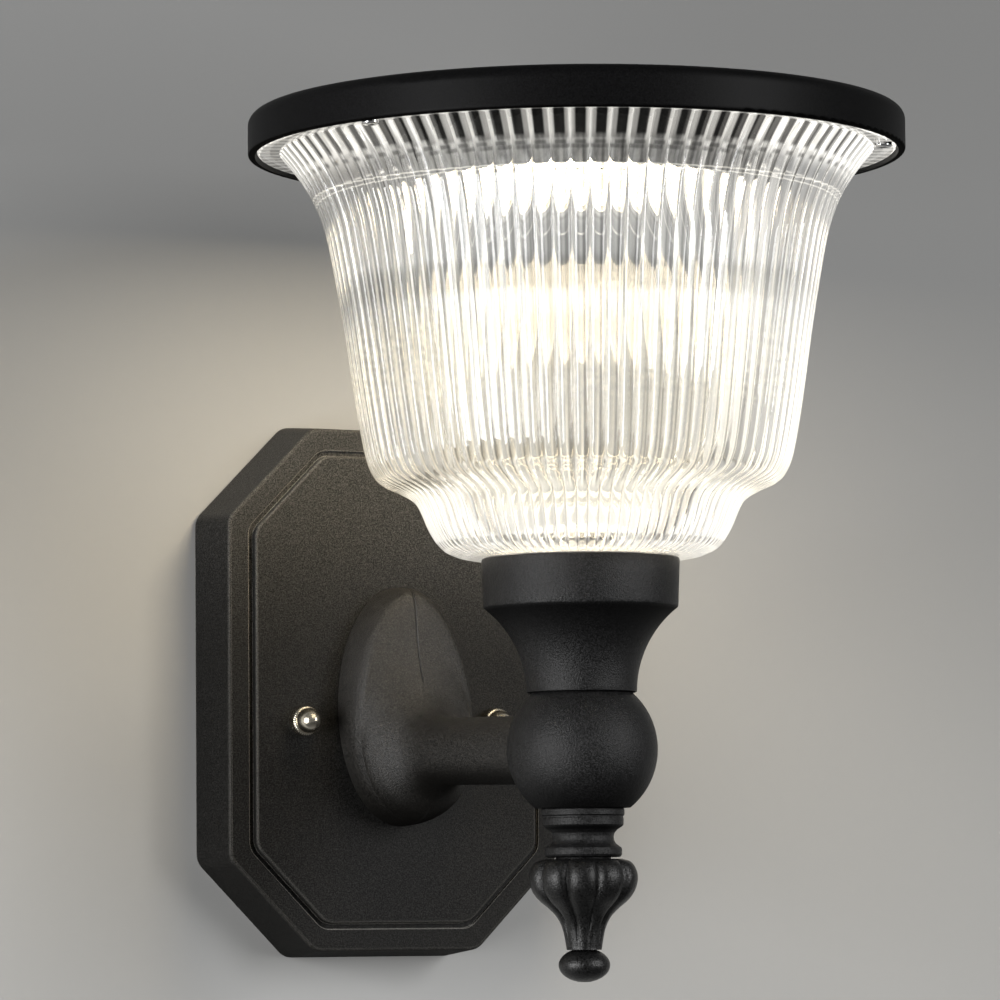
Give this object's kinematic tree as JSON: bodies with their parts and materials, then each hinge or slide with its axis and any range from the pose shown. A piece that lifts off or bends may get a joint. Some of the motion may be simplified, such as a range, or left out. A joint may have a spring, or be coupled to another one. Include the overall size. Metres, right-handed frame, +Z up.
{
  "type": "solar motion sensor light",
  "caption": "Black wall lantern with a clear ribbed bowl shade, a round solar cap on top, and a downward light on a short arm.",
  "frame": {"origin": "middle of the wall bracket on the wall plane, between the two bracket studs", "axes": "+X to the right along the bracket, +Y into the wall, +Z up; the lamp stands out from the wall along -Y"},
  "size_m": [0.2032, 0.2511, 0.2685],
  "materials": {
    "black_paint": "fine matte texture",
    "satin_nickel": "satin",
    "zinc_steel": "satin",
    "bright_screw": "polished",
    "clear_plastic": "clear gloss",
    "clear_glass": "clear gloss",
    "black_plastic": "satin",
    "white_plastic": "satin gloss",
    "dark_cell": "gloss",
    "panel_board": "matte",
    "green_board": "satin",
    "led_yellow": "satin",
    "battery_wrap": "satin",
    "black_rubber": "matte",
    "grey_foam": "matte",
    "brass_pin": "bright",
    "wire_red": "satin"
  },
  "bodies": {
    "lamp": {"wall_bracket": "zinc_steel", "bracket_studs": "zinc_steel", "stud_nuts": "zinc_steel", "backplate": "black_paint", "backplate_gasket": "grey_foam", "arm": "black_paint", "arm_gasket": "black_rubber", "arm_screws": "zinc_steel", "ball_housing": "black_paint", "ball_grub_screw": "zinc_steel", "clamp_rod": "zinc_steel", "finial_collar": "black_paint", "lamp_cup": "black_paint", "shade_seat_gasket": "grey_foam", "shade": "clear_plastic", "shade_clamp_washer": "white_plastic", "shade_clamp_nut": "white_plastic", "shade_screws": "bright_screw", "cap_housing": "black_plastic", "cap_gasket": "black_rubber", "panel_gasket": "black_rubber", "solar_board": "panel_board", "solar_cells": "dark_cell", "solar_glass": "clear_glass", "light_tray": "white_plastic", "tray_screws": "zinc_steel", "led_board": "white_plastic", "led_screws": "zinc_steel", "led_chips": "led_yellow", "battery_pad": "grey_foam", "battery_cell": "battery_wrap", "battery_clamp": "zinc_steel", "clamp_screws": "zinc_steel", "control_board": "green_board", "circuit_screws": "zinc_steel", "circuit_parts": "black_plastic", "led_pins": "brass_pin", "sensor_pad": "grey_foam", "motion_sensor": "green_board", "battery_leads": "wire_red", "panel_leads": "wire_red", "sensor_leads": "wire_red", "mode_switch": "black_plastic", "switch_board": "green_board"},
    "nut_seat_left": {"nut_washer_left": "satin_nickel"},
    "nut_left": {"thumb_nut_left": "satin_nickel"},
    "nut_seat_right": {"nut_washer_right": "satin_nickel"},
    "nut_right": {"thumb_nut_right": "satin_nickel"},
    "finial_seat": {"finial_washer": "black_paint"},
    "finial": {"finial": "black_paint"},
    "button": {"mode_button": "black_rubber", "switch_plunger": "white_plastic"}
  },
  "joints": [
    {"name": "nut_left_travel", "type": "slide", "parent": "lamp", "child": "nut_seat_left", "axis": [0, -1, 0], "range_m": [0, 0.0042]},
    {"name": "nut_left_turn", "type": "hinge", "parent": "nut_seat_left", "child": "nut_left", "pos_m": [-0.035, -0.0242, 0], "axis": [0, -1, 0], "range_deg": [0, 2160]},
    {"name": "nut_right_travel", "type": "slide", "parent": "lamp", "child": "nut_seat_right", "axis": [0, -1, 0], "range_m": [0, 0.0042]},
    {"name": "nut_right_turn", "type": "hinge", "parent": "nut_seat_right", "child": "nut_right", "pos_m": [0.035, -0.0242, 0], "axis": [0, -1, 0], "range_deg": [0, 2160]},
    {"name": "finial_travel", "type": "slide", "parent": "lamp", "child": "finial_seat", "axis": [0, 0, -1], "range_m": [0, 0.005]},
    {"name": "finial_turn", "type": "hinge", "parent": "finial_seat", "child": "finial", "pos_m": [0, -0.1495, -0.0467], "axis": [0, 0, -1], "range_deg": [0, 1800]},
    {"name": "button_press", "type": "slide", "parent": "lamp", "child": "button", "axis": [0, 0, -1], "range_m": [0, 0.0008], "stiffness_N_per_m": 1500, "springref_m": -0.0002}
  ],
  "couplings": [
    {"joint": "nut_left_turn", "follows": "nut_left_travel", "rad_per_m": 8976},
    {"joint": "nut_right_turn", "follows": "nut_right_travel", "rad_per_m": 8976},
    {"joint": "finial_turn", "follows": "finial_travel", "rad_per_m": 6283.2}
  ]
}
